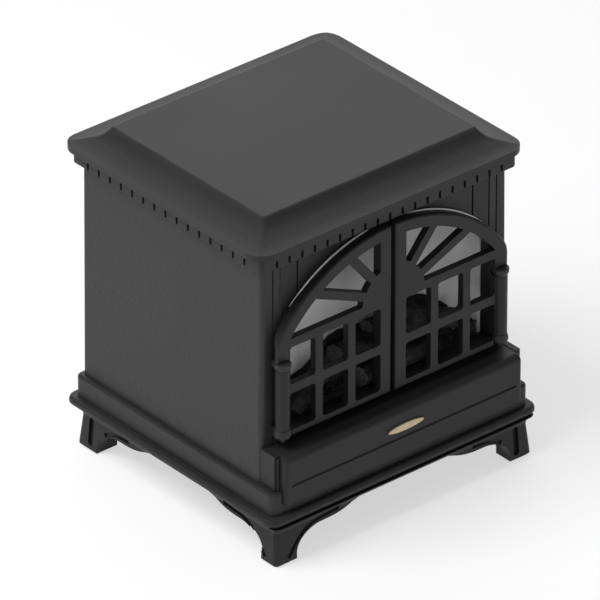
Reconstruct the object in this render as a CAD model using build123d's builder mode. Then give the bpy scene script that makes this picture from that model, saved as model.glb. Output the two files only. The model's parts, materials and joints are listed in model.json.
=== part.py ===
"""Tabletop electric fireplace: a small stove-shaped fan heater with a lit log set behind two doors."""
import os
from math import asin, cos, radians, sin, sqrt, tan

from build123d import *

os.makedirs("parts", exist_ok=True)

# ---------------------------------------------------------------- driving dimensions, millimetres
# X runs to the right, Y to the rear, Z up; the floor is Z = 0.
total_height = 210.0
gap = 0.3                       # between pieces that do not touch

# Top cap
cap_width = 200.0
cap_depth = 176.2
cap_y = 6.0                     # cap and cabinet stand back a little on the base
cap_rim_bottom = 195.6
cap_rim_top = 199.6
cap_border = 3.2                # flat border of the rim, outside the hollow slope
cap_top_inset = 20.8
cap_corner = 12.0
hip_radius = 3.0

# Dentil moulding under the cap
dentil_bottom = 185.6
dentil_top = 195.5
dentil_projection = 4.1
slot_width = 1.8
slot_depth = 2.2
slot_top = 191.0
front_slots, front_slot_pitch = 19, 9.25
side_slots, side_slot_pitch = 15, 9.87

# Cabinet, whose side walls lean in slightly towards the top
cabinet_bottom = 46.5
cabinet_top = 195.5
cabinet_half_width = 92.15      # at the foot of the walls
wall_lean = 0.6                 # degrees
body_front = -74.1
body_rear = 85.0
inner_half_width = 87.8
front_wall = 3.0
rear_wall = 4.0
strip_inner = 78.0              # the corner strips end here and the fascia begins
pilaster_inner = 65.0
strip_groove = 83.0             # fine upright groove in each corner strip

# Arched doors
arch_centre_z = 81.3
arch_radius = 103.2
door_half_width = 86.0
door_gap_half = 1.5
door_bottom = 75.0
door_front = -81.4
door_back = -74.9
grid_depth = 4.5                # thickness of the glazing bars
bar = 5.3
light_inner = 9.4               # the glazed part runs from the meeting stile ...
light_outer = 76.4              # ... to the hinge stile
light_bottom = 79.0
light_radius = 95.8
rail_bottom = 133.4
rail_top = 138.9
cross_bar = 5.8
spoke_centre_z = 136.0
spoke_angles = (23.5, 51.0)
hub_radius = 23.3
hinge_x = 81.2
hinge_y = -80.4
barrel_radius = 4.3
collar_radius = 5.1
pin_radius = 1.5
pin_top = 125.2
upper_collar = (121.4, 125.6)
lower_collar = (76.4, 81.8)

# Base
base_width = 202.0
base_depth = 186.2
base_y = -1.0
base_corner = 8.0
torus_bottom = 26.4
torus_top = 32.2
torus_bevel = 2.2
step_top = 46.4
step_width = 192.0
step_depth = 176.6
plinth_floor = 28.0

# Leg frame, measured over the feet
frame_half_width = 96.5
frame_half_depth = 89.1
frame_y = -3.4
frame_bottom = 0.5
frame_top = 26.3
throat_z = 21.0                 # narrowest height of the frame; it widens again above
throat_flare = (1.0, 3.9)       # how far it widens half way up and at its top
leg_flare = 5.4                 # degrees
foot = 16.0                     # width of each foot
front_foot_depth = 13.2
rear_foot_depth = 17.2
post_inset = 7.0                # screws stand this far inside the outline of the feet
foot_bevel = 0.8
leg_corner = 3.0
foot_upright = 3.4              # straight inner side of a foot, below the hollow
arc_rx = 20.0                   # hollow beside each foot
arc_rz = 14.2
ogee_top = 23.0

# Ash lip below the doors
lip_front = -92.0
lip_half_width = 88.6
lip_top = 69.5
lip_bottom = 38.6
lip_wall = 2.4
wing_front = -86.0
wing_top = 69.5
wing_inner, wing_outer = 88.0, 91.9

# Warm-air outlet in the fascia, just above the lip
outlet_half_width = 43.0
outlet_bottom, outlet_top = 70.0, 73.0

# Fire chamber
opening_half_width = 77.2
opening_bottom = 77.6
opening_radius = 96.6
chamber_front = -68.9
chamber_half_width = inner_half_width - 0.1
screen_y = -54.0
screen_thickness = 1.6
tray_top = 77.5
tray_bottom = 75.2
hood_bottom = 180.2

# Fan heater under the fire chamber
fan_y = 30.0
fan_z = 53.7
fan_radius = 17.0
fan_left, fan_right = -50.0, 42.0
scroll_radius = 19.5
scroll_wall = 1.5
scroll_left, scroll_right = -54.0, 46.0
duct_bottom, duct_top = 54.2, 73.2
duct_joint_y = -24.0
shaft_radius = 1.5
running_gap = 0.05              # shaft in bore
spindle_y = -36.0
spindle_z = 98.0

# Controls on the back
cover_front, cover_back = 82.7, 84.9
switch_z = 150.0
heat_switch_x = -42.0
flame_switch_x = -14.0
knob_x = 26.0
inlet_x, inlet_z = 56.0, 76.0
rocker_tilt = 7.0


# ---------------------------------------------------------------- helpers
def facing_front(y):
    """A sketch plane at depth y, drawn with X to the right and Z up; extrusions run to the front."""
    return Plane.XZ.offset(-y)


def block(x0, x1, y0, y1, z0, z1, mode=Mode.ADD):
    """A box given by its six faces."""
    with Locations(((x0 + x1) / 2, (y0 + y1) / 2, (z0 + z1) / 2)):
        Box(abs(x1 - x0), abs(y1 - y0), abs(z1 - z0), mode=mode)


def rod_x(y, z, x0, x1, radius, mode=Mode.ADD):
    """A cylinder lying along X."""
    with Locations(Location(((x0 + x1) / 2, y, z), (0, 90, 0))):
        Cylinder(radius, abs(x1 - x0), mode=mode)


def rod_y(x, z, y0, y1, radius, mode=Mode.ADD):
    """A cylinder lying along Y."""
    with Locations(Location((x, (y0 + y1) / 2, z), (90, 0, 0))):
        Cylinder(radius, abs(y1 - y0), mode=mode)


def rod_z(x, y, z0, z1, radius, mode=Mode.ADD):
    """An upright cylinder."""
    with Locations((x, y, (z0 + z1) / 2)):
        Cylinder(radius, abs(z1 - z0), mode=mode)


def save(builder, name):
    """Name the finished piece and write its file."""
    builder.part.label = name
    export_step(builder.part, f"parts/{name}.step")


def arch_z(x, radius):
    """Height at x of an arch about the door centre."""
    return arch_centre_z + sqrt(radius**2 - x**2)


def arched_face(x0, x1, z0, radius):
    """Sketch face between two uprights, under an arch about the door centre."""
    middle = (asin(x0 / radius) + asin(x1 / radius)) / 2
    crown = (radius * sin(middle), arch_centre_z + radius * cos(middle))
    with BuildSketch() as face:
        with BuildLine():
            ThreePointArc((x0, arch_z(x0, radius)), crown, (x1, arch_z(x1, radius)))
            Polyline((x1, arch_z(x1, radius)), (x1, z0), (x0, z0), (x0, arch_z(x0, radius)))
        make_face()
    return face.sketch


# ---------------------------------------------------------------- top cap
cap_screw_x = 80.0
cap_screw_ys = (cap_y - 66.0, cap_y + 66.0)
cap_skin = 3.0


def cap_section(half):
    """Section of the cap: rim, flat border, hollow slope and raised flat top."""
    slope_foot = (half - cap_border, cap_rim_top)
    slope_head = (half - cap_top_inset, total_height)
    with BuildSketch() as section:
        with BuildLine():
            Line((0, total_height), slope_head)
            hollow = [slope_head, (half - 16.4, 204.0), (half - 11.0, 201.7), slope_foot]
            Spline(*hollow, tangents=[(0.5, -1), (1, -0.14)])
            Polyline(slope_foot, (half, cap_rim_top - 0.4), (half, cap_rim_bottom), (0, cap_rim_bottom))
            mirror(about=Plane.YZ)
        make_face()
    return section.sketch


with BuildPart() as top_cap:
    with BuildSketch(Plane.XZ):
        add(cap_section(cap_width / 2))
    extrude(amount=cap_depth, both=True)
    with BuildSketch(Plane(origin=(0, cap_y, 0), x_dir=(0, 1, 0), z_dir=(1, 0, 0))):
        add(cap_section(cap_depth / 2))
    extrude(amount=cap_width, both=True, mode=Mode.INTERSECT)
    with BuildSketch(Plane.XY.offset(cap_rim_bottom)):
        with Locations((0, cap_y)):
            RectangleRounded(cap_width, cap_depth, cap_corner)
    extrude(amount=total_height - cap_rim_bottom, mode=Mode.INTERSECT)
    hips = top_cap.edges().filter_by_position(Axis.Z, cap_rim_top + 1, total_height - 1)
    fillet(hips, hip_radius)
    fillet(top_cap.faces().sort_by(Axis.Z)[-1].edges(), 2.2)
    block(-72, 72, cap_y - 60, cap_y + 60, cap_rim_bottom, total_height - cap_skin, Mode.SUBTRACT)
    for screw_y in cap_screw_ys:
        for screw_x in (-cap_screw_x, cap_screw_x):
            rod_z(screw_x, screw_y, cap_rim_bottom, cap_rim_bottom + 7.5, 1.45, Mode.SUBTRACT)
save(top_cap, "top_cap")

# ---------------------------------------------------------------- dentil moulding
lean = tan(radians(wall_lean))
dentil_half_width = cabinet_half_width - (dentil_bottom - cabinet_bottom) * lean + dentil_projection
dentil_front = body_front - dentil_projection
dentil_rear = body_rear + dentil_projection
dentil_y = (dentil_front + dentil_rear) / 2

with BuildPart() as dentil_moulding:
    with BuildSketch(Plane.XY.offset(dentil_bottom)):
        with Locations((0, dentil_y)):
            RectangleRounded(2 * dentil_half_width, dentil_rear - dentil_front, 3)
    extrude(amount=dentil_top - dentil_bottom)
    fillet(dentil_moulding.edges().group_by(Axis.Z)[0], 1.0)
    hole_half = dentil_half_width - dentil_projection + 0.1
    block(-hole_half, hole_half, body_front - 0.1, body_rear + 0.1, 180, 200, Mode.SUBTRACT)
    slot_height = slot_top - dentil_bottom + 1
    slot_z = slot_top - slot_height / 2
    for face_y in (dentil_front, dentil_rear):
        with Locations((0, face_y, slot_z)):
            with GridLocations(front_slot_pitch, 1, front_slots, 1):
                Box(slot_width, 2 * slot_depth, slot_height, mode=Mode.SUBTRACT)
    for face_x in (-dentil_half_width, dentil_half_width):
        with Locations((face_x, dentil_y, slot_z)):
            with GridLocations(1, side_slot_pitch, 1, side_slots):
                Box(2 * slot_depth, slot_width, slot_height, mode=Mode.SUBTRACT)
save(dentil_moulding, "dentil_moulding")

# ---------------------------------------------------------------- cabinet shell
top_half_width = cabinet_half_width - (cabinet_top - cabinet_bottom) * lean
cover_screws_at = [(x, z) for x in (-76, 76) for z in (58, 117, 176)]

with BuildPart() as cabinet_shell:
    with BuildSketch(facing_front(body_rear)):
        with BuildLine():
            Polyline(
                (-cabinet_half_width, cabinet_bottom),
                (cabinet_half_width, cabinet_bottom),
                (top_half_width, cabinet_top),
                (-top_half_width, cabinet_top),
                close=True,
            )
        make_face()
    extrude(amount=body_rear - body_front)
    fillet(cabinet_shell.edges().filter_by_position(Axis.Z, 110, 130), 3.0)
    block(
        -inner_half_width, inner_half_width,
        body_front + front_wall, body_rear - rear_wall,
        cabinet_bottom - 1, cabinet_top + 1,
        Mode.SUBTRACT,
    )
    block(-strip_inner, strip_inner, body_front - 1, body_front + 5, 40, 200, Mode.SUBTRACT)
    block(-72, 72, 78, 88, 60, 174, Mode.SUBTRACT)
    block(-80, 80, cover_front - 0.1, 88, 52.5, 181.5, Mode.SUBTRACT)
    for groove_x in (-strip_groove, strip_groove):
        block(groove_x - 0.5, groove_x + 0.5, body_front - 1, body_front + 0.7, 40, 200, Mode.SUBTRACT)
    for hand in (-1, 1):
        for screw_y in cap_screw_ys:
            block(hand * 73, hand * 88, screw_y - 7, screw_y + 7, 190, 194.5)
            rod_z(hand * cap_screw_x, screw_y, 189, 196, 1.6, Mode.SUBTRACT)
        for collar in (upper_collar, lower_collar):
            rod_y(hand * hinge_x, sum(collar) / 2, body_front - 1, body_front + 3.5, 1.65, Mode.SUBTRACT)
    for screw_x, screw_z in cover_screws_at:
        rod_y(screw_x, screw_z, 80, 86, 1.35, Mode.SUBTRACT)
save(cabinet_shell, "cabinet_shell")

# ---------------------------------------------------------------- front fascia with the arched opening
fascia_rear = body_front + front_wall + 2.1
fascia_edge = strip_inner - 0.2
magnet_x, magnet_z = 6.0, 181.0
magnet_radius = 2.6

with BuildPart() as front_fascia:
    block(-fascia_edge, fascia_edge, body_front, fascia_rear, cabinet_bottom + 0.1, cabinet_top - 0.1)
    front_edges = front_fascia.edges().filter_by(Axis.Z).group_by(Axis.Y)[0]
    chamfer(front_edges, 0.8)
    block(-84, 84, body_front + front_wall + 0.1, fascia_rear, cabinet_bottom + 0.1, cabinet_top - 0.1)
    with BuildSketch(facing_front(fascia_rear + 1)):
        add(arched_face(-opening_half_width, opening_half_width, opening_bottom, opening_radius))
    extrude(amount=10, mode=Mode.SUBTRACT)
    for hand in (-1, 1):
        groove_x = hand * pilaster_inner
        block(groove_x - 0.6, groove_x + 0.6, body_front - 1, body_front + 0.9, 40, 200, Mode.SUBTRACT)
        rod_y(
            hand * magnet_x, magnet_z, body_front - 1, body_front + 2.6, magnet_radius + 0.05, Mode.SUBTRACT
        )
    block(-outlet_half_width, outlet_half_width, -80, -60, outlet_bottom, outlet_top, Mode.SUBTRACT)
save(front_fascia, "front_fascia")

with BuildPart() as door_magnets:
    for hand in (-1, 1):
        rod_y(hand * magnet_x, magnet_z, body_front + 0.1, body_front + 2.5, magnet_radius)
save(door_magnets, "door_magnets")

# ---------------------------------------------------------------- doors, pins, hinge collars, strikers
pane_width = (light_outer - light_inner - 2 * bar) / 3
pane_height = (rail_bottom - light_bottom - cross_bar) / 2
door_x = (light_inner + light_outer) / 2
notch_radius = collar_radius + 0.5
lower_notch = (door_bottom - 1, lower_collar[1] + gap)
upper_notch = (upper_collar[0] - gap, upper_collar[1] + gap)
flange = 0.7                    # thin rear edge that stands out around the arch
barrel_clip = barrel_radius + 0.1
collar_back = body_front - 0.05
ball_radius = 1.9
arm_half = 3.2                  # half width of a collar's arm
neck = barrel_radius + 0.1
upper_height, lower_height = upper_collar[1] - upper_collar[0], lower_collar[1] - lower_collar[0]
turned_collar = {               # half sections, radius and height
    "upper": (
        (0, 0), (neck, 0), (collar_radius, 1.5), (collar_radius, upper_height - 0.5),
        (collar_radius - 0.5, upper_height), (0, upper_height),
    ),
    "lower": (
        (0, 0), (3.4, 0), (4.8, 0.7), (collar_radius, 1.9), (collar_radius, 2.9),
        (neck, lower_height), (0, lower_height),
    ),
}

for name, hand in (("left", -1), ("right", 1)):
    with BuildPart() as door:
        with BuildSketch(facing_front(door_back)) as outline:
            add(arched_face(door_gap_half, door_half_width, door_bottom, arch_radius))
            shoulder = outline.vertices().group_by(Axis.X)[-1].sort_by(Axis.Y)[-1]
            fillet(shoulder, 14)
        extrude(amount=door_back - door_front)
        fillet(door.faces().sort_by(Axis.Y)[0].outer_wire().edges(), 1.2)
        with BuildSketch(facing_front(door_back)):
            add(arched_face(door_gap_half, hinge_x, rail_top + 4, arch_radius + flange))
        extrude(amount=0.9)
        with BuildSketch(Plane.XY.offset(door_bottom - 1)):
            with Locations((hinge_x, hinge_y)):
                Rectangle(20, 30, align=(Align.MIN, Align.CENTER))
                Circle(barrel_clip, mode=Mode.SUBTRACT)
        extrude(amount=120, mode=Mode.SUBTRACT)
        with BuildSketch(facing_front(door_back)):
            add(arched_face(light_inner, light_outer, light_bottom, light_radius))
        extrude(amount=door_back - door_front - grid_depth, mode=Mode.SUBTRACT)
        with BuildSketch(facing_front(door_back)):
            add(arched_face(light_inner, light_outer, rail_top, light_radius))
            with Locations((0, spoke_centre_z)):
                Circle(hub_radius, mode=Mode.SUBTRACT)
                for angle in spoke_angles:
                    Rectangle(
                        120, bar, rotation=angle, align=(Align.MIN, Align.CENTER), mode=Mode.SUBTRACT
                    )
            with Locations((door_x, (light_bottom + rail_bottom) / 2)):
                with GridLocations(pane_width + bar, pane_height + cross_bar, 3, 2):
                    RectangleRounded(pane_width, pane_height, 2.0)
        extrude(amount=10, mode=Mode.SUBTRACT)
        rod_z(hinge_x, hinge_y, lower_collar[1] + gap, upper_collar[0] - gap, barrel_radius)
        for low, high in (lower_notch, upper_notch):
            rod_z(hinge_x, hinge_y, low, high, notch_radius, Mode.SUBTRACT)
            arm_side = hinge_x - arm_half - 0.6
            block(arm_side, hinge_x + 8, hinge_y, door_back + 1, low, high, Mode.SUBTRACT)
        rod_z(hinge_x, hinge_y, door_bottom, pin_top + 0.4, pin_radius + running_gap, Mode.SUBTRACT)
        rod_y(magnet_x, magnet_z, door_back - 1.6, door_back + 1, magnet_radius + 0.05, Mode.SUBTRACT)
        if hand < 0:
            mirror(about=Plane.YZ, mode=Mode.REPLACE)
    save(door, f"{name}_door")

    with BuildPart() as striker:
        rod_y(hand * magnet_x, magnet_z, door_back - 1.5, door_back - 0.1, magnet_radius)
    save(striker, f"{name}_striker")

    with BuildPart() as pin:
        rod_z(hand * hinge_x, hinge_y, lower_collar[0] - 1.4, pin_top, pin_radius)
        with Locations((hand * hinge_x, hinge_y, lower_collar[0] - ball_radius)):
            Sphere(ball_radius)
    save(pin, f"{name}_hinge_pin")

    for level, (low, high) in (("upper", upper_collar), ("lower", lower_collar)):
        arm_x = hand * hinge_x
        with BuildPart() as collar:
            with BuildSketch(Plane(origin=(arm_x, hinge_y, low), x_dir=(1, 0, 0), z_dir=(0, -1, 0))):
                Polygon(*turned_collar[level], align=None)
            revolve(axis=Axis((arm_x, hinge_y, 0), (0, 0, 1)))
            block(arm_x - 8, arm_x + 8, collar_back, body_front + 5, low - 1, high + 1, Mode.SUBTRACT)
            block(arm_x - arm_half, arm_x + arm_half, hinge_y + 1, collar_back, low + 0.2, high - 0.2)
            rod_y(arm_x, (low + high) / 2, body_front - 1, body_front + 2.9, 1.6)
            rod_z(arm_x, hinge_y, low - 1, high + 1, pin_radius + 0.02, Mode.SUBTRACT)
        save(collar, f"{name}_{level}_hinge_collar")

# ---------------------------------------------------------------- ash lip, outlet grille, badge
step_front = base_y - step_depth / 2

with BuildPart() as ash_lip:
    block(-lip_half_width, lip_half_width, lip_front, body_front - 0.1, step_top + 0.1, lip_top)
    block(-lip_half_width, lip_half_width, lip_front, step_front - gap, lip_bottom, step_top + 0.2)
    front_edges = ash_lip.edges().filter_by(Axis.X).group_by(Axis.Y)[0]
    fillet(front_edges.sort_by(Axis.Z)[-1], 4.4)
    for end_face in (ash_lip.faces().sort_by(Axis.X)[0], ash_lip.faces().sort_by(Axis.X)[-1]):
        upper = end_face.edges().filter_by(lambda edge: edge.center().Z > lip_bottom + 1)
        outer = upper.filter_by(lambda edge: edge.center().Y < lip_front + 2 or edge.center().Z > 60)
        fillet(outer, 2.2)
    for hand in (-1, 1):
        with Locations((hand * (wing_inner + wing_outer) / 2, 0, (step_top + 0.1 + wing_top) / 2)):
            wing_depth = body_front - 0.1 - wing_front
            with Locations((0, body_front - 0.1 - wing_depth / 2, 0)):
                Box(wing_outer - wing_inner, wing_depth, wing_top - step_top - 0.1)
        rod_z(hand * (wing_outer - 2.6), wing_front, step_top + 0.1, wing_top - 1.5, 1.0)
    block(
        -lip_half_width + lip_wall, lip_half_width - lip_wall, lip_front + lip_wall, body_front,
        step_top + lip_wall, lip_top - lip_wall, Mode.SUBTRACT,
    )
    with Locations(Location((0, lip_front, 50), (45, 0, 0))):
        Box(168, 1.2, 1.2, mode=Mode.SUBTRACT)
save(ash_lip, "ash_lip")

grille_rim, grille_front, grille_rear = 0.5, body_front + 0.5, body_front + 2.7
with BuildPart() as outlet_grille:
    rim_x = outlet_half_width - 0.05
    rim_bottom, rim_top = outlet_bottom + 0.05, outlet_top - 0.05
    block(-rim_x, rim_x, grille_front, grille_rear, rim_bottom, rim_top)
    block(
        -rim_x + grille_rim, rim_x - grille_rim, grille_front - 1, grille_rear + 1,
        rim_bottom + grille_rim, rim_top - grille_rim, Mode.SUBTRACT,
    )
    with Locations((0, (grille_front + grille_rear) / 2, (rim_bottom + rim_top) / 2)):
        with GridLocations(4.3, 1, 19, 1):
            Box(0.9, grille_rear - grille_front, rim_top - rim_bottom)
save(outlet_grille, "outlet_grille")

badge_width, badge_height, badge_z = 26.5, 4.7, 57.2
with BuildPart() as badge_plate:
    with BuildSketch(facing_front(lip_front - 0.05)):
        with Locations((0, badge_z)):
            Ellipse(badge_width / 2, badge_height / 2)
    extrude(amount=1.2)
    fillet(badge_plate.faces().sort_by(Axis.Y)[0].edges(), 0.35)
save(badge_plate, "badge_plate")

# ---------------------------------------------------------------- base plinth
post_x = frame_half_width - post_inset
post_y = frame_half_depth - post_inset
posts_at = [(hand_x * post_x, frame_y + hand_y * post_y) for hand_x in (-1, 1) for hand_y in (-1, 1)]

with BuildPart() as base_plinth:
    with BuildSketch(Plane.XY.offset(torus_bottom)):
        with Locations((0, base_y)):
            RectangleRounded(base_width, base_depth, base_corner)
    extrude(amount=torus_top - torus_bottom)
    rims = base_plinth.edges().group_by(Axis.Z)
    chamfer(rims[0], torus_bevel)
    fillet(rims[-1], 2.6)
    with BuildSketch(Plane.XY.offset(torus_bottom + 4)):
        with Locations((0, base_y)):
            RectangleRounded(step_width, step_depth, 4)
    extrude(amount=step_top - torus_bottom - 4)
    fillet(base_plinth.edges().group_by(Axis.Z)[-1], 2.0)
    block(-86.4, 86.4, -80, 81, plinth_floor, 60, Mode.SUBTRACT)
    for hand in (-1, 1):
        block(hand * 84.6, hand * 87.4, -55, 60, plinth_floor, 53)
        block(hand * 86, hand * 88, -55, 60, cabinet_bottom - 0.1, 54, Mode.SUBTRACT)
    for post in posts_at:
        rod_z(*post, torus_bottom - 1, torus_bottom + 9, 1.35, Mode.SUBTRACT)
save(base_plinth, "base_plinth")


# ---------------------------------------------------------------- leg frame with bracket feet
def ogee_half(reach):
    """Half of the opening under an apron: a quarter ellipse beside the foot, then a reversed curve."""
    shoulder = reach - arc_rx
    crest = shoulder - 27.0
    hollow_top = foot_upright + arc_rz
    bend = (shoulder - 12, hollow_top + 0.6)
    with BuildSketch() as opening:
        with BuildLine():
            Polyline((0, 0), (reach, 0), (reach, foot_upright))
            EllipticalCenterArc((shoulder, foot_upright), arc_rx, arc_rz, start_angle=0, arc_size=90)
            Spline((shoulder, hollow_top), bend, (crest, ogee_top), tangents=[(-1, 0), (-1, 0.5)])
            Polyline((crest, ogee_top), (0, ogee_top), (0, 0))
        make_face()
    return opening.sketch


def arc_groove(reach, near, width):
    """Shallow groove above the hollow beside one foot; beside a front corner it runs on down the foot."""
    crown = (reach - 20, 20.2)
    with BuildSketch() as groove:
        with BuildLine():
            if near:
                Line((reach - 33.5, 21.0), crown)
                ThreePointArc(crown, (reach - 8.4, 16.6), (reach - 0.8, 10.4))
                Line((reach - 0.8, 10.4), (reach + 5.0, 3.2))
            else:
                Line((reach - 28, 20.8), crown)
                ThreePointArc(crown, (reach - 13, 18.7), (reach - 6.6, 15.2))
        trace(line_width=width)
    return groove.sketch


flare = radians(leg_flare)
inner_x = frame_half_width - foot
inner_front = frame_half_depth - front_foot_depth
inner_rear = frame_half_depth - rear_foot_depth
near_x, near_y = frame_half_width - 14.8, frame_half_depth - 14.8
far_grooves = (inner_rear, False)
near_grooves = (near_y, True)
# each face: its foot line, directions, and the reach and kind of the groove on its right and its left
apron_faces = (
    ("front", (0, frame_y - frame_half_depth), (1, 0, 0), (0, -cos(flare), sin(flare)),
     (inner_x, False), (near_x, True)),
    ("rear", (0, frame_y + frame_half_depth), (-1, 0, 0), (0, cos(flare), sin(flare)),
     (near_x, True), (near_x, True)),
    ("left", (-frame_half_width, frame_y), (0, -1, 0), (-cos(flare), 0, sin(flare)),
     near_grooves, far_grooves),
    ("right", (frame_half_width, frame_y), (0, 1, 0), (cos(flare), 0, sin(flare)),
     far_grooves, near_grooves),
)
slot_inset = 11.6
proud = 3.0                     # the grooves start this far outside the sloping faces
slot_reach = frame_half_depth - slot_inset
upright_slots = {"front": frame_half_width - slot_inset, "left": -slot_reach, "right": slot_reach}
lean_in = (throat_z - frame_bottom) * tan(flare)
outline_levels = (              # height, growth of the outline, corner radius
    (frame_bottom, -foot_bevel, leg_corner),
    (frame_bottom + foot_bevel, -foot_bevel * tan(flare), leg_corner),
    (throat_z, -lean_in, leg_corner),
    ((throat_z + frame_top) / 2, throat_flare[0] - lean_in, leg_corner + 0.8),
    (frame_top, throat_flare[1] - lean_in, leg_corner + 2.8),
)

with BuildPart() as leg_frame:
    for level, growth, corner in outline_levels:
        with BuildSketch(Plane.XY.offset(level)):
            with Locations((0, frame_y)):
                RectangleRounded(2 * (frame_half_width + growth), 2 * (frame_half_depth + growth), corner)
    loft(ruled=True)
    with BuildSketch(Plane.XY.offset(frame_bottom)):
        with Locations((0, frame_y)):
            Rectangle(2 * inner_x, 2 * (frame_half_depth - 8))
            Rectangle(2 * (frame_half_width - 8), 2 * inner_rear)
    extrude(amount=frame_top - frame_bottom - 2.5, mode=Mode.SUBTRACT)
    block(-72, 72, frame_y - 66, frame_y + 66, 20, 30, Mode.SUBTRACT)
    with BuildSketch(facing_front(100)):
        add(ogee_half(inner_x))
        mirror(about=Plane.YZ)
    extrude(amount=200, mode=Mode.SUBTRACT)
    with BuildSketch(Plane(origin=(-100, frame_y, 0), x_dir=(0, 1, 0), z_dir=(1, 0, 0))):
        add(ogee_half(inner_rear))
        add(mirror(ogee_half(inner_front), about=Plane.YZ))
    extrude(amount=200, mode=Mode.SUBTRACT)
    for side, foot_line, along, outward, right_groove, left_groove in apron_faces:
        face_plane = Plane(origin=(*foot_line, frame_bottom), x_dir=along, z_dir=outward)
        for groove_width, groove_depth in ((2.8, 0.6), (1.7, 1.2)):
            with BuildSketch(face_plane.offset(proud)):
                add(arc_groove(*right_groove, groove_width))
                add(mirror(arc_groove(*left_groove, groove_width), about=Plane.YZ))
            extrude(amount=-groove_depth - proud, mode=Mode.SUBTRACT)
        if side in upright_slots:
            with BuildSketch(face_plane.offset(proud)):
                with Locations((upright_slots[side], 12.0)):
                    SlotOverall(18.4, 4.2, rotation=90)
            extrude(amount=-2.2 - proud, mode=Mode.SUBTRACT)
    for post in posts_at:
        rod_z(*post, 0, 30, 1.6, Mode.SUBTRACT)
        rod_z(*post, 0, 10, 3.3, Mode.SUBTRACT)
save(leg_frame, "leg_frame")

with BuildPart() as base_screws:
    for post in posts_at:
        rod_z(*post, 7.6, 9.9, 3.0)
        rod_z(*post, 9.9, torus_bottom + 8.5, 1.3)
save(base_screws, "base_screws")

for name, (hand_x, hand_y) in {
    "front_left": (-1, -1), "front_right": (1, -1), "rear_left": (-1, 1), "rear_right": (1, 1)
}.items():
    with BuildPart() as pad:
        with BuildSketch(Plane.XY):
            with Locations((hand_x * post_x, frame_y + hand_y * post_y)):
                RectangleRounded(11.4, 11.4, 2)
        extrude(amount=frame_bottom)
    save(pad, f"foot_pad_{name}")

# ---------------------------------------------------------------- fire chamber
with BuildPart() as hearth_tray:
    block(-chamber_half_width, chamber_half_width, chamber_front, -20, tray_bottom, tray_top)
    for hand in (-1, 1):
        flange_x = hand * (chamber_half_width - 1.4)
        block(flange_x, hand * chamber_half_width, chamber_front, -20, tray_bottom - 3.5, tray_bottom)
save(hearth_tray, "hearth_tray")

with BuildPart() as firebox_hood:
    block(-chamber_half_width, chamber_half_width, chamber_front, -50, hood_bottom, hood_bottom + 2)
    for hand in (-1, 1):
        flange_x = hand * (chamber_half_width - 1.4)
        block(flange_x, hand * chamber_half_width, chamber_front, -50, hood_bottom + 2, hood_bottom + 7)
save(firebox_hood, "firebox_hood")

for name, hand in (("left", -1), ("right", 1)):
    with BuildPart() as liner:
        block(hand * 78.8, hand * 80.2, chamber_front, -51, tray_top, hood_bottom - 0.1)
    save(liner, f"{name}_side_liner")

with BuildPart() as flame_screen:
    with BuildSketch(Plane.XY.offset(tray_top)):
        with BuildLine():
            back = Line((-64, screen_y), (64, screen_y))
            TangentArc(back @ 1, (77.4, -66.8), tangent=(1, 0))
            TangentArc(back @ 0, (-77.4, -66.8), tangent=(-1, 0))
        trace(line_width=screen_thickness)
    extrude(amount=hood_bottom - tray_top - 0.1)
save(flame_screen, "flame_screen")

bed_half_width = 63.0
mound_back = -55.2
with BuildPart() as ember_bed:
    with BuildSketch(Plane.YZ.offset(-bed_half_width)):
        with BuildLine():
            Polyline(
                (-68.6, tray_top), (-68.6, 79.6), (-60.6, 81.4), (-57.4, 90.5), (mound_back, 91.5),
                (mound_back, tray_top), close=True,
            )
        make_face()
    extrude(amount=2 * bed_half_width)
    with BuildSketch(facing_front(mound_back)):
        Polygon(
            (-63, tray_top), (-63, 92), (-55, 94.3), (-45, 97), (-40, 99.6), (-31, 108), (-26, 111.2),
            (-17, 111.8), (-6, 110.3), (7, 111.2), (20, 113.2), (40, 112.4), (48, 108.8), (54, 104.2),
            (59.5, 100.3), (63, 97), (63, tray_top), align=None,
        )
    extrude(amount=0.8)
    for hand in (-1, 1):
        block(hand * (bed_half_width - 1), hand * 74.5, -68.4, -62.8, tray_top, 88)
save(ember_bed, "ember_bed")

logs = {
    "log_front": ((-11, -68.0, 86.4), (42, -67.4, 86.8), 6.0),
    "log_back": ((-28, -62.7, 101.4), (26, -62.7, 101.4), 6.2),
    "log_left": ((-61, -64.8, 87.8), (-39, -63.1, 99.2), 6.0),
    "log_right": ((32, -63.6, 103.5), (61, -63.8, 91.0), 6.0),
    "log_top": ((-20, -63.4, 112.5), (24, -63.4, 112.5), 4.8),
}
for name, (start, end, radius) in logs.items():
    with BuildPart() as log:
        axis = Vector(*end) - Vector(*start)
        with BuildSketch(Plane(origin=start, z_dir=axis)):
            Circle(radius)
        extrude(amount=axis.length)
        chamfer(log.edges().filter_by(GeomType.CIRCLE), 0.8)
    save(log, name)

with BuildPart() as led_board:
    block(-60, 60, -50, -42, 80.6, 82.2)
    for leg_x in (-56, 56):
        block(leg_x - 2, leg_x + 2, -48, -44, tray_top, 80.6)
    for led_x in range(-50, 51, 20):
        rod_z(led_x, -46, 82.2, 84.6, 2.0)
        with Locations((led_x, -46, 84.6)):
            Sphere(2.0)
save(led_board, "led_board")

# ---------------------------------------------------------------- flame spindle and its drive
with BuildPart() as flame_spindle:
    rod_x(spindle_y, spindle_z, -75.4, 69.4, shaft_radius)
    for index, blade_x in enumerate(range(-60, 61, 10)):
        with Locations(Location((blade_x, spindle_y, spindle_z), (60 * index, 0, 0))):
            Box(8.4, 17.0, 0.8)
save(flame_spindle, "flame_spindle")

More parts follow.
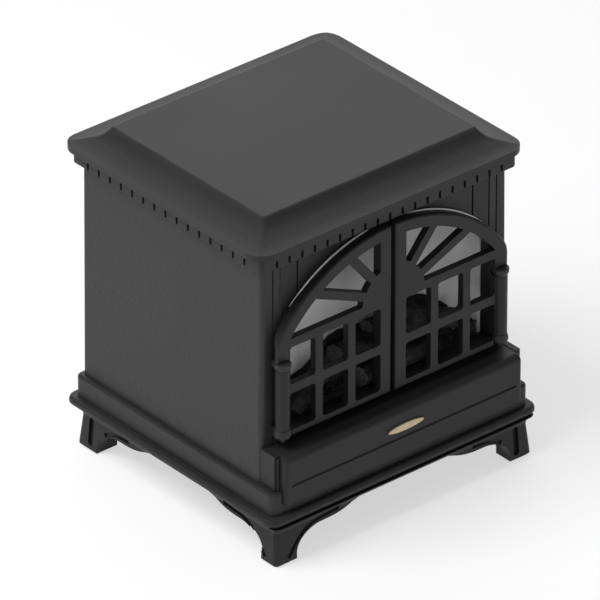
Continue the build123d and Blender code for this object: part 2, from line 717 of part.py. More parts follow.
with BuildPart() as spindle_motor:
    rod_x(spindle_y, spindle_z, -86, -73, 9.0)
    block(-84, -75, spindle_y - 7, spindle_y + 7, tray_top, spindle_z - 4)
    rod_x(spindle_y, spindle_z, -76, -72, shaft_radius + running_gap, Mode.SUBTRACT)
save(spindle_motor, "spindle_motor")

with BuildPart() as spindle_bearing:
    block(66.4, 70.4, spindle_y - 5, spindle_y + 5, tray_top, spindle_z + 5)
    rod_x(spindle_y, spindle_z, 60, 75, shaft_radius + running_gap, Mode.SUBTRACT)
save(spindle_bearing, "spindle_bearing")

# ---------------------------------------------------------------- fan, scroll, duct and heating element
blade_count = 20
with BuildPart() as fan_impeller:
    rod_x(fan_y, fan_z, scroll_left + 0.4, 52, shaft_radius)
    for disc_x in (fan_left, (fan_left + fan_right) / 2, fan_right):
        rod_x(fan_y, fan_z, disc_x - 0.7, disc_x + 0.7, fan_radius)
    with Locations(Plane(origin=((fan_left + fan_right) / 2, fan_y, fan_z), z_dir=(1, 0, 0))):
        with PolarLocations(fan_radius - 2.4, blade_count):
            Box(4.2, 0.9, fan_right - fan_left, rotation=(0, 0, 28))
save(fan_impeller, "fan_impeller")


def scroll_profile(radius, low, high, front):
    """Fan casing in section: a drum with a straight outlet running forwards from its top half."""
    with BuildSketch() as profile:
        with Locations((fan_y, fan_z)):
            Circle(radius)
        with Locations(((front + fan_y) / 2, (low + high) / 2)):
            Rectangle(fan_y - front, high - low)
    return profile.sketch


scroll_foot_top = fan_z - 18.4   # reaches into the drum's wall
with BuildPart() as fan_scroll:
    with BuildSketch(Plane.YZ.offset(scroll_left)):
        add(scroll_profile(
            scroll_radius + scroll_wall, duct_bottom - scroll_wall, duct_top + scroll_wall, duct_joint_y
        ))
    extrude(amount=scroll_right - scroll_left)
    with BuildSketch(Plane.YZ.offset(scroll_left + scroll_wall)):
        add(scroll_profile(scroll_radius, duct_bottom, duct_top, duct_joint_y - 1))
    extrude(amount=scroll_right - scroll_left - 2 * scroll_wall, mode=Mode.SUBTRACT)
    block(scroll_left + 4, scroll_right - 4, fan_y + 6, fan_y + 30, fan_z - 14, fan_z + 12, Mode.SUBTRACT)
    rod_x(fan_y, fan_z, -60, -50, 3.05, Mode.SUBTRACT)
    rod_x(fan_y, fan_z, 40, 50, 4.0, Mode.SUBTRACT)
    for leg_x in (scroll_left + 8, scroll_right - 8):
        for leg_y in (fan_y - 7, fan_y + 7):
            block(leg_x - 4, leg_x + 4, leg_y - 2, leg_y + 2, plinth_floor, scroll_foot_top)
    rod_x(fan_y, fan_z, scroll_left + scroll_wall, scroll_right - scroll_wall, scroll_radius, Mode.SUBTRACT)
save(fan_scroll, "fan_scroll")

with BuildPart() as fan_bush:
    rod_x(fan_y, fan_z, scroll_left - 2.5, scroll_left + scroll_wall + 0.4, 3.0)
    rod_x(fan_y, fan_z, scroll_left, scroll_left + 8, shaft_radius + running_gap, Mode.SUBTRACT)
save(fan_bush, "fan_bush")

with BuildPart() as fan_motor:
    rod_x(fan_y, fan_z, 47, 76, 14.5)
    rod_x(fan_y, fan_z, scroll_right + 0.1, 47, 7.0)
    block(58, 72, fan_y - 12, fan_y + 12, plinth_floor, fan_z - 8)
    rod_x(fan_y, fan_z, 44, 53, shaft_radius + running_gap, Mode.SUBTRACT)
save(fan_motor, "fan_motor")

with BuildPart() as outlet_duct:
    block(
        scroll_left, scroll_right, fascia_rear + 0.1, duct_joint_y - 0.1,
        duct_bottom - scroll_wall, duct_top + scroll_wall,
    )
    block(
        scroll_left + scroll_wall, scroll_right - scroll_wall, -80, 0, duct_bottom, duct_top, Mode.SUBTRACT
    )
    block(scroll_left + 4, scroll_left + 8, -50, -30, plinth_floor, duct_bottom - 1)
    block(scroll_right - 8, scroll_right - 4, -50, -30, plinth_floor, duct_bottom - 1)
save(outlet_duct, "outlet_duct")

heater_left, heater_right = scroll_left + 3, scroll_right - 3
with BuildPart() as heating_element:
    block(heater_left, heater_right, -48, -34, duct_bottom, duct_top)
    with Locations(((heater_left + heater_right) / 2, -41, (duct_bottom + duct_top) / 2)):
        with GridLocations(5.8, 1, 15, 1):
            Box(4.2, 20, duct_top - duct_bottom - 4, mode=Mode.SUBTRACT)
save(heating_element, "heating_element")

with BuildPart() as thermal_cutout:
    rod_z(-30, -10, duct_top + scroll_wall, duct_top + scroll_wall + 2.4, 7)
    rod_z(-30, -10, duct_top + scroll_wall, duct_top + scroll_wall + 3.4, 4.5)
save(thermal_cutout, "thermal_cutout")

# ---------------------------------------------------------------- electrics
with BuildPart() as control_board:
    block(-85.2, -83.6, 0, 60, 92, 150)
    for post_at_y in (6, 54):
        for post_at_z in (98, 144):
            rod_x(post_at_y, post_at_z, -inner_half_width + 0.05, -85.2, 2.5)
    block(-83.6, -71, 8, 26, 98, 116)
    block(-83.6, -76, 34, 52, 100, 110)
    block(-83.6, -80, 12, 48, 128, 134)
    rod_x(42, 120, -83.6, -72, 5)
save(control_board, "control_board")

with BuildPart() as tilt_switch:
    block(-78, -62, 58, 74, plinth_floor, 40)
    fillet(tilt_switch.edges().filter_by(Axis.Z), 2)
save(tilt_switch, "tilt_switch")

# ---------------------------------------------------------------- rear cover and controls
with BuildPart() as rear_cover:
    block(-79.7, 79.7, cover_front, cover_back, 52.8, 181.2)
    fillet(rear_cover.edges().filter_by(Axis.Y), 2)
    block(-70, 70, cover_front - 3, cover_front, 66, 67.6)
    block(-70, 70, cover_front - 3, cover_front, 170, 171.6)
    for column_x in (-42, 6):
        with Locations((column_x, (cover_front + cover_back) / 2, 98)):
            for row in range(-5, 6):
                with Locations((0, 0, row * 5.4)):
                    Box(40, 8, 2.6, mode=Mode.SUBTRACT)
    for switch_x in (heat_switch_x, flame_switch_x):
        block(switch_x - 6.5, switch_x + 6.5, 80, 90, switch_z - 9.8, switch_z + 9.8, Mode.SUBTRACT)
    rod_y(knob_x, switch_z, 78, 90, 5.0, Mode.SUBTRACT)
    block(inlet_x - 10.2, inlet_x + 10.2, 78, 90, inlet_z - 6.7, inlet_z + 6.7, Mode.SUBTRACT)
    for screw_x, screw_z in cover_screws_at:
        rod_y(screw_x, screw_z, 80, 90, 1.5, Mode.SUBTRACT)
save(rear_cover, "rear_cover")

with BuildPart() as cover_screws:
    for screw_x, screw_z in cover_screws_at:
        rod_y(screw_x, screw_z, 81.2, cover_back + 0.05, 1.3)
        rod_y(screw_x, screw_z, cover_back + 0.05, cover_back + 1.7, 2.6)
        slot_low, slot_high = screw_z - 0.35, screw_z + 0.35
        block(screw_x - 1.6, screw_x + 1.6, cover_back + 1.1, 90, slot_low, slot_high, Mode.SUBTRACT)
save(cover_screws, "cover_screws")

with BuildPart() as cap_screws:
    for screw_y in cap_screw_ys:
        for screw_x in (-cap_screw_x, cap_screw_x):
            rod_z(screw_x, screw_y, 187.6, 189.95, 3.0)
            rod_z(screw_x, screw_y, 189.95, cap_rim_bottom + 6.5, 1.4)
save(cap_screws, "cap_screws")

pivot_y = 81.6
for name, switch_x in (("heat", heat_switch_x), ("flame", flame_switch_x)):
    with BuildPart() as switch_body:
        block(switch_x - 6.3, switch_x + 6.3, 68, cover_back + 0.2, switch_z - 9.6, switch_z + 9.6)
        lip_left, lip_right = switch_x - 7.6, switch_x + 7.6
        block(lip_left, lip_right, cover_back + 0.05, cover_back + 1.4, switch_z - 11, switch_z + 11)
        block(switch_x - 4.6, switch_x + 4.6, 76, 90, switch_z - 7.8, switch_z + 7.8, Mode.SUBTRACT)
        rod_x(pivot_y, switch_z, switch_x - 5.7, switch_x + 5.7, 1.0, Mode.SUBTRACT)
        for terminal_z in (-5, 0, 5):
            blade_z = switch_z + terminal_z
            block(switch_x - 2, switch_x + 2, 62, 68, blade_z - 0.4, blade_z + 0.4)
    save(switch_body, f"{name}_switch_body")

    with BuildPart() as rocker:
        with Locations(Location((switch_x, pivot_y, switch_z), (-rocker_tilt, 0, 0))):
            Box(8.6, 5.4, 13.0, align=(Align.CENTER, Align.MIN, Align.CENTER))
            with Locations(Location((0, 5.4 + 21.0, 0), (0, 90, 0))):
                Cylinder(22.0, 12, mode=Mode.SUBTRACT)
        rod_x(pivot_y, switch_z, switch_x - 5.5, switch_x + 5.5, 0.92)
        rod_x(pivot_y, switch_z, switch_x - 4.3, switch_x + 4.3, 2.4)
    save(rocker, f"{name}_rocker")

with BuildPart() as thermostat_body:
    block(knob_x - 12, knob_x + 12, 66, 79, switch_z - 12, switch_z + 12)
    rod_y(knob_x, switch_z, 79, cover_back + 0.3, 4.8)
    rod_y(knob_x, switch_z, 72, 90, 3.0 + running_gap, Mode.SUBTRACT)
    for terminal_x in (-7, 7):
        blade_x = knob_x + terminal_x
        block(blade_x - 2.4, blade_x + 2.4, 60, 66, switch_z - 0.4, switch_z + 0.4)
save(thermostat_body, "thermostat_body")

with BuildPart() as thermostat_knob:
    rod_y(knob_x, switch_z, 72.5, 87, 3.0)
    rod_y(knob_x, switch_z, cover_back + 0.6, 93.4, 10.5)
    fillet(thermostat_knob.edges().filter_by(GeomType.CIRCLE).group_by(Axis.Y)[-1], 1.0)
    with Locations(Plane(origin=(knob_x, 91, switch_z), z_dir=(0, 1, 0))):
        with PolarLocations(11.2, 20):
            Cylinder(1.1, 8, mode=Mode.SUBTRACT)
    block(knob_x - 0.5, knob_x + 0.5, 92.8, 95, switch_z + 2, switch_z + 9, Mode.SUBTRACT)
save(thermostat_knob, "thermostat_knob")

with BuildPart() as mains_inlet:
    block(inlet_x - 10, inlet_x + 10, 66, cover_back + 0.1, inlet_z - 6.5, inlet_z + 6.5)
    block(inlet_x - 12, inlet_x + 12, cover_back + 0.05, cover_back + 1.6, inlet_z - 8.5, inlet_z + 8.5)
    fillet(mains_inlet.edges().filter_by(Axis.Y).group_by(Axis.X)[0], 2)
    fillet(mains_inlet.edges().filter_by(Axis.Y).group_by(Axis.X)[-1], 2)
    with BuildSketch(Plane.XZ.offset(-76)):
        with Locations((inlet_x, inlet_z)):
            SlotOverall(16.6, 9.6)
    extrude(amount=-14, mode=Mode.SUBTRACT)
    for pin_x in (-4.3, 4.3):
        rod_y(inlet_x + pin_x, inlet_z, 75, 84.4, 1.2)
        block(inlet_x + pin_x - 2, inlet_x + pin_x + 2, 60, 66, inlet_z - 0.4, inlet_z + 0.4)
save(mains_inlet, "mains_inlet")
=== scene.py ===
"""Tabletop electric fireplace: finishes, sculpted fire bed, studio floor, lights and camera."""

import json
import math
import random

import bmesh
import bpy
from mathutils import Matrix, Vector, noise

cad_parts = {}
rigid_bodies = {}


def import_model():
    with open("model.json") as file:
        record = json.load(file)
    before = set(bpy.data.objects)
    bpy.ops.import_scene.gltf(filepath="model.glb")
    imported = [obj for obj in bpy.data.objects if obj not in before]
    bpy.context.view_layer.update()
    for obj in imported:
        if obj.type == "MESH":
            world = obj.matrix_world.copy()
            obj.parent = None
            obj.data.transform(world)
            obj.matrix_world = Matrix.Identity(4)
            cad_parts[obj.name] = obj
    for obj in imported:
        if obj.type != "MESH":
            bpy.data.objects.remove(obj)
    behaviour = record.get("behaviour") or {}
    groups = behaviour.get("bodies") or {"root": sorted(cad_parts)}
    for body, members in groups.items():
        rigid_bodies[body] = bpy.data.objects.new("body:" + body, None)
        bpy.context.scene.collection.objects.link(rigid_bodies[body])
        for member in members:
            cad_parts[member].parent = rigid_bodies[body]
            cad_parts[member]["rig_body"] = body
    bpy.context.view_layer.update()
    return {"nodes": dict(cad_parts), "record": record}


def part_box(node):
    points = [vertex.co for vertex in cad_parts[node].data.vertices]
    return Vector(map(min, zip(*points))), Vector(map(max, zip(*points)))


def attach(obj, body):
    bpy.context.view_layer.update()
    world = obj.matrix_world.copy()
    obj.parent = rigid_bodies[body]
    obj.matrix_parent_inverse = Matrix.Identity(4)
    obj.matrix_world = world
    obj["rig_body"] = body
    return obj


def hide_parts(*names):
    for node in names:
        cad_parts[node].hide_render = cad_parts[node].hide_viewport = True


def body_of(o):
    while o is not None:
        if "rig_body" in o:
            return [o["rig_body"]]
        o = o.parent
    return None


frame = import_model()

MM = 0.001
random.seed(7)


# ---------------------------------------------------------------- material building
class Wire:
    """One value of a material: a shader socket that adds to and multiplies with others."""

    def __init__(self, recipe, socket):
        self.recipe = recipe
        self.socket = socket

    def __add__(self, other):
        return self.recipe.maths("ADD", self, other)

    def __radd__(self, other):
        return self.recipe.maths("ADD", other, self)

    def __mul__(self, other):
        return self.recipe.maths("MULTIPLY", self, other)

    def __rmul__(self, other):
        return self.recipe.maths("MULTIPLY", other, self)

    def ramp(self, low, high, start=0.0, end=1.0):
        """The value mapped from low..high onto start..end, and held there beyond it."""
        places = {"Value": self, "From Min": low, "From Max": high, "To Min": start, "To Max": end}
        return self.recipe.node("ShaderNodeMapRange", {"clamp": True}, places)

    def between(self, dark, light):
        """A colour that runs from dark to light as the value runs from 0 to 1."""
        places = {"Factor": self, "A": dark, "B": light}
        return self.recipe.node("ShaderNodeMix", {"data_type": "RGBA"}, places, "Result")


class Recipe:
    """A material under construction."""

    def __init__(self, name):
        self.material = bpy.data.materials.new(name)
        self.material.use_nodes = True
        self.tree = self.material.node_tree
        self.tree.nodes.clear()

    def node(self, kind, settings=None, places=None, out=0):
        """Add one node: its settings first, then a number, colour or wire for each socket."""
        made = self.tree.nodes.new(kind)
        for name, value in (settings or {}).items():
            setattr(made, name, value)
        for name, value in (places or {}).items():
            target = self.open_socket(made.inputs, name)
            if isinstance(value, Wire):
                self.tree.links.new(value.socket, target)
            elif target.type == "RGBA":
                target.default_value = (*value, 1.0)
            else:
                target.default_value = value
        return Wire(self, self.open_socket(made.outputs, out)) if made.outputs else None

    def open_socket(self, sockets, name):
        """The socket with this name that is in use, or the socket with this number."""
        if isinstance(name, int):
            return sockets[name]
        return next(socket for socket in sockets if socket.name == name and socket.enabled)

    def maths(self, operation, first, second):
        return self.node("ShaderNodeMath", {"operation": operation}, {0: first, 1: second})

    def place(self):
        return self.node("ShaderNodeTexCoord", out="Object")

    def noise(self, scale, detail=4.0, roughness=0.55, where=None):
        where = where or self.place()
        places = {"Vector": where, "Scale": scale, "Detail": detail, "Roughness": roughness}
        return self.node("ShaderNodeTexNoise", places=places)

    def cells(self, scale):
        return self.node("ShaderNodeTexVoronoi", places={"Vector": self.place(), "Scale": scale})

    def bump(self, height, strength, distance):
        places = {"Height": height, "Strength": strength, "Distance": distance}
        return self.node("ShaderNodeBump", places=places)

    def surface(self, places):
        """Finish the material with one principled shader."""
        return self.end_with(self.node("ShaderNodeBsdfPrincipled", places=places))

    def end_with(self, shader):
        self.node("ShaderNodeOutputMaterial", places={"Surface": shader})
        return self.material


def shade(colour, factor):
    """The colour made darker, or lighter up to white."""
    return tuple(min(1.0, factor * part) for part in colour)


# ---------------------------------------------------------------- finishes
def painted(name, colour, roughness, grain_size, grain_depth, gloss):
    """Matt black moulded finish: slow drift of tone and sheen over a fine spark texture."""
    r = Recipe(name)
    drift = r.noise(9.0, detail=3.0)
    spark = r.noise(grain_size, detail=3.0, roughness=0.6)
    pits = r.cells(grain_size * 0.8)
    tone = (drift * 0.7 + spark * 0.3).ramp(0.35, 0.65)
    return r.surface({
        "Base Color": tone.between(shade(colour, 0.88), shade(colour, 1.14)),
        "Roughness": drift.ramp(0.3, 0.7, roughness - 0.05, roughness + 0.06),
        "Specular IOR Level": gloss,
        "Normal": r.bump(spark + pits * 0.5, strength=grain_depth, distance=0.3 * MM),
    })


def plain(name, colour, roughness, metallic=0.0, grain_depth=0.15, grain_size=900.0):
    """Any other small part: even colour with slight drift and grain."""
    r = Recipe(name)
    drift = r.noise(40.0)
    grain = r.noise(grain_size, detail=2.0)
    return r.surface({
        "Base Color": drift.ramp(0.3, 0.7).between(shade(colour, 0.88), shade(colour, 1.12)),
        "Metallic": metallic,
        "Roughness": drift.ramp(0.3, 0.7, max(0.05, roughness - 0.06), roughness + 0.06),
        "Normal": r.bump(grain, strength=grain_depth, distance=0.2 * MM),
    })


def charred(name, dark, light, streak_size):
    """Charred resin: streaks and cracks between a dark and a lighter tone."""
    r = Recipe(name)
    streaks = r.noise(streak_size, detail=6.0, roughness=0.7)
    cracks = r.cells(streak_size * 1.6)
    return r.surface({
        "Base Color": (streaks * 0.8 + cracks * 0.3).ramp(0.35, 0.75).between(dark, light),
        "Roughness": streaks.ramp(0.3, 0.7, 0.7, 0.9),
        "Specular IOR Level": 0.2,
        "Normal": r.bump(streaks + cracks * 0.6, strength=0.6, distance=0.8 * MM),
    })


def frosted(name, colour):
    """Pale flame screen with a faint upright drift of tone."""
    r = Recipe(name)
    upright = r.node("ShaderNodeMapping", places={"Vector": r.place(), "Scale": (60.0, 60.0, 14.0)})
    wisps = r.noise(1.0, detail=3.0, roughness=0.5, where=upright)
    return r.surface({
        "Base Color": wisps.ramp(0.3, 0.7).between(shade(colour, 0.8), colour),
        "Roughness": wisps.ramp(0.3, 0.7, 0.4, 0.5),
        "Normal": r.bump(r.noise(500.0), strength=0.1, distance=0.2 * MM),
    })


# moulded blacks: colour, roughness, size and depth of the grain, gloss
painted_finishes = {
    "cap_black": ((0.024, 0.024, 0.0252), 0.45, 700.0, 0.2, 0.27),
    "moulding_black": ((0.024, 0.024, 0.0252), 0.45, 700.0, 0.2, 0.27),
    "cabinet_black": ((0.033, 0.033, 0.0345), 0.5, 420.0, 0.6, 0.27),
    "fascia_black": ((0.022, 0.022, 0.023), 0.45, 700.0, 0.2, 0.25),
    "door_black": ((0.018, 0.018, 0.019), 0.42, 900.0, 0.15, 0.24),
    "hinge_black": ((0.024, 0.024, 0.025), 0.38, 900.0, 0.12, 0.3),
    "lip_black": ((0.018, 0.018, 0.019), 0.42, 900.0, 0.15, 0.24),
    "plinth_black": ((0.024, 0.024, 0.0252), 0.42, 900.0, 0.15, 0.27),
    "leg_black": ((0.018, 0.018, 0.0188), 0.42, 900.0, 0.15, 0.22),
    "cover_black": ((0.028, 0.028, 0.029), 0.55, 600.0, 0.4, 0.3),
}
# small parts: colour, roughness, then how metallic, and for the badge its grain's depth and size
plain_finishes = {
    "grille_black": ((0.02, 0.02, 0.02), 0.5),
    "badge_metal": ((0.52, 0.43, 0.28), 0.35, 0.8, 0.5, 260.0),
    "pad_rubber": ((0.02, 0.02, 0.02), 0.8),
    "screw_steel": ((0.45, 0.45, 0.46), 0.35, 1.0),
    "magnet_steel": ((0.6, 0.6, 0.6), 0.25, 1.0),
    "chamber_black": ((0.03, 0.03, 0.03), 0.6),
    "board_green": ((0.02, 0.12, 0.04), 0.4),
    "spindle_metal": ((0.75, 0.75, 0.76), 0.2, 1.0),
    "motor_steel": ((0.5, 0.5, 0.51), 0.4, 1.0),
    "bearing_plastic": ((0.7, 0.7, 0.66), 0.5),
    "impeller_metal": ((0.6, 0.6, 0.61), 0.35, 1.0),
    "duct_steel": ((0.5, 0.51, 0.52), 0.4, 1.0),
    "heater_metal": ((0.5, 0.5, 0.5), 0.4, 1.0),
    "sensor_steel": ((0.6, 0.6, 0.6), 0.35, 1.0),
    "tilt_plastic": ((0.6, 0.6, 0.56), 0.5),
    "switch_black": ((0.015, 0.015, 0.015), 0.3),
    "rocker_red": ((0.35, 0.02, 0.015), 0.3),
    "thermostat_plastic": ((0.08, 0.08, 0.08), 0.5),
    "knob_black": ((0.02, 0.02, 0.02), 0.4),
}
# charred resins: darkest and lightest tone, how fine the streaks are
charred_finishes = {
    "ember_resin": ((0.012, 0.012, 0.012), (0.05, 0.048, 0.046), 160.0),
    "log_resin": ((0.012, 0.012, 0.012), (0.05, 0.048, 0.046), 220.0),
}
finishes = {"screen_smoke": frosted("screen_smoke", (0.9, 0.9, 0.92))}
for make, table in (
    (painted, painted_finishes), (plain, plain_finishes), (charred, charred_finishes),
):
    for name, values in table.items():
        finishes[name] = make(name, *values)
split_wood = charred("split_wood", (0.07, 0.07, 0.071), (0.12, 0.12, 0.12), 300.0)
# pale line on the doors' arch edges: a painted highlight, not wear on the paint
painted_highlight_edge = plain("painted_highlight_edge", (0.8, 0.8, 0.81), 0.4)

slots = {entry["node"]: entry["material_slot"] for entry in frame["record"]["subparts"]}
for node, piece in frame["nodes"].items():
    piece.data.materials.clear()
    piece.data.materials.append(finishes[slots[node]])


# ---------------------------------------------------------------- making a piece
def add_object(name, data):
    """A new object in the scene for a mesh, a lamp or a camera."""
    made = bpy.data.objects.new(name, data)
    bpy.context.collection.objects.link(made)
    return made


def skin(mesh, loops, smooth):
    """Join each loop of points to the next with a band of four-sided faces."""
    for first, second in zip(loops, loops[1:]):
        for step in range(len(first)):
            after = (step + 1) % len(first)
            face = mesh.faces.new((first[step], first[after], second[after], second[step]))
            face.smooth = smooth


def finish_piece(name, body_mesh, materials, stands_for=(), body=None):
    """Turn a bmesh into a named piece with its finish, riding on its body or its node's body."""
    mesh = bpy.data.meshes.new(name)
    bmesh.ops.recalc_face_normals(body_mesh, faces=body_mesh.faces)
    body_mesh.to_mesh(mesh)
    body_mesh.free()
    for material in materials:
        mesh.materials.append(material)
    piece = add_object(name, mesh)
    if stands_for:
        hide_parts(*stands_for)
    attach(piece, body or body_of(frame["nodes"][stands_for[0]])[0])


# ---------------------------------------------------------------- rough-hewn logs
log_rings, log_sides = 34, 30
bark_ridges = 7
slant_rings = 9         # the left end's slant dies out over this many rings
left_slant, right_slant = 0.35, 0.12    # how far each end leans, as a share of the radius


def bark_distance(radius, along, angle, seed):
    """How far the bark stands from the log's middle line: rough, with soft wandering ridges."""
    spot = Vector((along / radius * 0.55, 2.2 * math.cos(angle), 2.2 * math.sin(angle)))
    rough = noise.fractal(spot + Vector((seed, 0, 0)), 0.8, 2.1, 4)
    wander = 3 * noise.noise(Vector((along * 60, seed, angle)))
    ridge = 0.05 * math.sin(bark_ridges * angle + wander)
    return radius * min(0.99, 0.86 + 0.13 * rough + ridge)


def hewn_log(node, tilt, length, width, moved, seed):
    """A short log with ridged bark and slanted, split ends, in the place of a plain one."""
    low, high = (Vector(corner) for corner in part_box(node))
    centre = (low + high) / 2 + Vector(moved) * MM
    radius = 0.5 * width * MM
    tilt_matrix = Matrix.Rotation(-math.radians(tilt), 3, "Y")
    log = bmesh.new()
    loops = []
    for ring in range(log_rings + 1):
        along = (ring / log_rings - 0.5) * length * MM
        loop = []
        for step in range(log_sides):
            angle = 2 * math.pi * step / log_sides
            size = bark_distance(radius, along, angle, seed)
            skew = right_slant * radius * math.sin(angle + seed) if ring == log_rings else 0.0
            skew -= left_slant * radius * math.cos(angle) * max(0.0, 1.0 - ring / slant_rings)
            point = Vector((along + skew, size * math.cos(angle), size * math.sin(angle)))
            loop.append(log.verts.new(centre + tilt_matrix @ point))
        loops.append(loop)
    skin(log, loops, smooth=True)
    for end in (loops[0], loops[-1]):
        hub = log.verts.new(sum((vert.co for vert in end), Vector()) / log_sides)
        for step in range(log_sides):
            face = log.faces.new((end[step], end[(step + 1) % log_sides], hub))
            face.material_index = 1
    finish_piece("hewn_" + node, log, [finishes["log_resin"], split_wood], (node,))


# each log: its tilt in degrees, its length and width, and its shift from the plain one, in mm
for index, (node, tilt, length, width, moved) in enumerate((
    ("log_front", 0.4, 56.0, 14.6, (-2.0, 0.7, -2.6)),
    ("log_back", 0.0, 53.0, 12.4, (0.0, 0.0, 0.6)),
    ("log_left", 38.0, 33.0, 13.4, (-1.0, -3.0, -3.0)),
    ("log_right", -23.4, 32.5, 14.0, (-1.0, 0.0, 1.0)),
    ("log_top", 0.0, 36.0, 9.4, (12.0, 1.0, -2.2)),
)):
    hewn_log(node, tilt, length, width, moved, seed=3.7 * index + 1.3)


# ---------------------------------------------------------------- heaped ember bed
heap_half = 63.0 * MM
heap_columns = 150
# the outline of the heap behind the logs: place across and height, in mm
heap_line = (
    (-63.0, 92.0), (-55.0, 94.0), (-45.0, 96.5), (-40.0, 99.0), (-31.0, 107.5), (-26.0, 110.5),
    (-17.0, 111.2), (-6.0, 109.5), (7.0, 110.5), (20.0, 112.2), (40.0, 111.6), (48.0, 108.0),
    (54.0, 103.5), (59.5, 99.5), (63.0, 96.0),
)
# the slope from front to back, as shares of the bed's depth and height
heap_slope = (
    (0.0, 0.0), (0.01, 0.06), (0.3, 0.085), (0.6, 0.11), (0.8, 0.25), (0.88, 0.4), (0.93, 0.7),
    (0.95, 1.0),
)
back_limit = 0.96       # share of the depth that the rough slope keeps within
lump_count = 70
cheek_place, cheek_front_to_back = 68.7, -65.6      # middle of a side cheek, in mm
cheek_width, cheek_depth, cheek_height = 11.4, 5.2, 9.8


def heap_top(along):
    """Height of the heap in mm at a place across it, between the points of its outline."""
    for (left, start), (right, end) in zip(heap_line, heap_line[1:]):
        if along <= right:
            break
    share = (along - left) / (right - left)
    jag = noise.fractal(Vector((along * 0.16, 0.3, 0.0)), 0.9, 2.0, 3)
    return start + (end - start) * share + 0.9 * min(0.8, jag)


def quartered(path):
    """The points of a path after each of its runs is cut into four."""
    points = []
    for start, end in zip(path, path[1:]):
        for share in (0.0, 0.25, 0.5, 0.75):
            points.append(tuple(a + (b - a) * share for a, b in zip(start, end)))
    return [*points, path[-1]]


def add_slope(heap, low, high):
    """The rough slope from the hearth up to the jagged outline, with a flat back."""
    height, depth = high.z - low.z, high.y - low.y
    strips = []
    for column in range(heap_columns + 1):
        across = 2 * column / heap_columns - 1
        x = heap_half * across
        top = (heap_top(x / MM) * MM - low.z) / height
        strip = []
        for back, up in quartered(heap_slope):
            rough = noise.fractal(Vector((across * 12, back * 4, up * 9)), 0.8, 2.0, 4)
            lift = 0.03 * rough * min(1.0, 6 * back) if up < 1 else 0.0
            forward = 0.5 * lift if up > 0.1 else 0.0
            level = up * top if up > 0.3 else up * min(1.0, top * 1.3)
            y = low.y + depth * min(back_limit, back - forward)
            z = low.z + height * max(0.0, level + lift)
            strip.append(heap.verts.new((x, y, z)))
        strip.append(heap.verts.new((x, high.y, low.z + height * top)))
        strip.append(heap.verts.new((x, high.y, low.z)))
        strips.append(strip)
    skin(heap, strips, smooth=False)
    heap.faces.new(strips[0])
    heap.faces.new(strips[-1])


def add_lumps(heap, low, high):
    """Flattened lumps strewn over the lower part of the slope."""
    height, depth = high.z - low.z, high.y - low.y
    for lump in range(lump_count):
        size = random.uniform(1.3, 2.9) * MM
        back = random.uniform(0.12, 0.72)
        place = Vector((
            random.uniform(-0.92, 0.92) * heap_half,
            low.y + back * depth,
            low.z + (0.075 + 0.1 * max(0.0, back - 0.5)) * height + 0.35 * size,
        ))
        for vert in bmesh.ops.create_icosphere(heap, subdivisions=2, radius=size)["verts"]:
            knock = 0.8 + 0.35 * noise.noise(vert.co * 700 + Vector((lump * 3.1, 0, 0)))
            vert.co = place + Vector((vert.co.x * 1.2, vert.co.y, vert.co.z * 0.75)) * knock


def add_cheeks(heap, low):
    """A low knocked block at each side of the heap."""
    for hand in (-1, 1):
        earlier = len(heap.verts)
        block = bmesh.ops.create_cube(heap, size=1.0)["verts"]
        edges = list({edge for vert in block for edge in vert.link_edges})
        bmesh.ops.subdivide_edges(heap, edges=edges, cuts=9, use_grid_fill=True)
        for vert in list(heap.verts)[earlier:]:
            rough = noise.fractal(vert.co * 3.0 + Vector((hand, 0.0, 0.0)), 0.8, 2.0, 3)
            out, back, up = vert.co * min(0.99, 0.93 + 0.1 * rough)
            vert.co = Vector((
                (cheek_place * hand + cheek_width * out) * MM,
                (cheek_front_to_back + cheek_depth * back) * MM,
                low.z + cheek_height * (up + 0.5) * MM,
            ))


def ember_heap():
    """The bed of embers that climbs behind the logs, with a low cheek at each side."""
    low, high = (Vector(corner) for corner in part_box("ember_bed"))
    heap = bmesh.new()
    add_slope(heap, low, high)
    add_lumps(heap, low, high)
    add_cheeks(heap, low)
    finish_piece("ember_heap", heap, [finishes["ember_resin"]], ("ember_bed",))


ember_heap()


# ---------------------------------------------------------------- painted highlight along the doors' arch
arch_radius = 103.7 * MM
arch_drop = 103.89 * MM     # from the top of a door down to the middle of its arch
edge_inset = 0.5 * MM       # the middle of the painted highlight line in front of the door's rear face
edge_thickness = 0.6 * MM
edge_steps, edge_sides = 60, 8
edge_start, edge_sweep = 4.0, 40.0      # degrees from the top of the arch


def arch_edge(node, hand):
    """A thin pale line, finer at its ends, that follows the rear of the door's arch: a painted
    highlight where the edge catches the light.
    """
    high = Vector(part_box(node)[1])
    centre_z = high.z - arch_drop
    line_y = high.y - edge_inset
    sweep = bmesh.new()
    loops = []
    for step in range(edge_steps + 1):
        angle = math.radians(edge_start + edge_sweep * step / edge_steps)
        swell = math.sin(math.pi * step / edge_steps) ** 0.5
        thickness = edge_thickness * (0.35 + 0.65 * swell)
        loop = []
        for side in range(edge_sides):
            lean = 2 * math.pi * side / edge_sides
            reach = arch_radius + thickness * math.cos(lean)
            loop.append(sweep.verts.new((
                hand * reach * math.sin(angle),
                line_y + thickness * math.sin(lean),
                centre_z + reach * math.cos(angle),
            )))
        loops.append(loop)
    skin(sweep, loops, smooth=True)
    sweep.faces.new(loops[0])
    sweep.faces.new(loops[-1])
    finish_piece(node + "_arch_edge", sweep, [painted_highlight_edge], (), node)


arch_edge("left_door", -1)
arch_edge("right_door", 1)


# ---------------------------------------------------------------- studio floor, lights and camera
floor_glow = 0.6        # how much of the floor shines by itself where it is seen
lamp_aim = Vector((0.0, 0.0, 0.1))


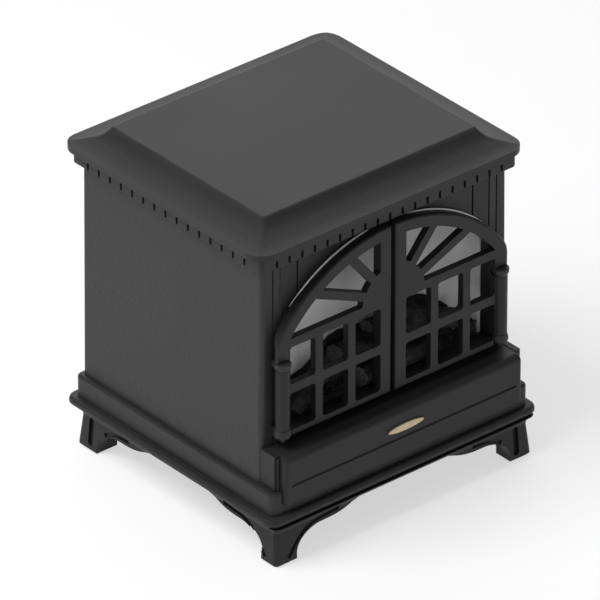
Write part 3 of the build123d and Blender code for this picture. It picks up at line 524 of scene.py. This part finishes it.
def studio_floor():
    """A pale floor that brightens where it is seen directly, in gloss or through clear parts."""
    bpy.ops.mesh.primitive_plane_add(size=6.0)
    floor = bpy.context.object
    floor.name = "studio_floor"
    r = Recipe("studio_floor")
    pale = r.node("ShaderNodeBsdfDiffuse", places={"Color": (0.93, 0.93, 0.93)})
    glow = r.node("ShaderNodeEmission", places={"Color": (1.0, 1.0, 1.0), "Strength": 1.0})
    rays = ("Is Camera Ray", "Is Glossy Ray", "Is Transmission Ray")
    seen = sum(r.node("ShaderNodeLightPath", out=ray) for ray in rays)
    share = seen.ramp(0.0, 1.0, 0.0, floor_glow)
    both = r.node("ShaderNodeMixShader", places={0: share, 1: pale, 2: glow})
    floor.data.materials.append(r.end_with(both))


def studio_sky():
    """Even white light from all around."""
    world = bpy.data.worlds.new("studio")
    bpy.context.scene.world = world
    world.use_nodes = True
    sky = world.node_tree.nodes["Background"]
    sky.inputs["Color"].default_value = (1.0, 1.0, 1.0, 1.0)
    sky.inputs["Strength"].default_value = 0.35


def turn_back_on(thing, away):
    """Turn a lamp or camera so that its back points away and it looks the other way."""
    thing.rotation_mode = "QUATERNION"
    thing.rotation_quaternion = away.to_track_quat("Z", "Y")


def lamp(name, direction, distance, size, power, mirrored):
    """A soft square lamp that looks at the object; mirrored lamps also show in its sheen."""
    light = bpy.data.lights.new(name, "AREA")
    light.shape = "SQUARE"
    light.size = size
    light.energy = power
    holder = add_object(name, light)
    away = Vector(direction).normalized()
    holder.location = lamp_aim + away * distance
    turn_back_on(holder, away)
    holder.visible_camera = False
    holder.visible_glossy = mirrored


def studio_camera():
    """A long lens that looks down on the front from its left."""
    turn = math.radians(40.214)
    rise = math.radians(30.903)
    distance = 5.604
    target = Vector((-0.01308, -0.01506, 0.110))
    flat = math.cos(rise)
    away = Vector((-math.sin(turn) * flat, -math.cos(turn) * flat, math.sin(rise)))
    camera = add_object("camera", bpy.data.cameras.new("camera"))
    camera.data.lens = 590.4
    camera.data.sensor_width = 36.0
    camera.data.clip_end = 50.0
    camera.location = target + away * distance
    turn_back_on(camera, away)
    bpy.context.scene.camera = camera


studio_floor()
studio_sky()
lamp("key", (-0.50, 0.12, 0.85), distance=1.8, size=1.0, power=30.0, mirrored=False)
lamp("back_panel", (0.554, 0.655, 0.52), distance=3.2, size=3.0, power=30.0, mirrored=True)
studio_camera()
bpy.context.scene.view_settings.view_transform = "Standard"
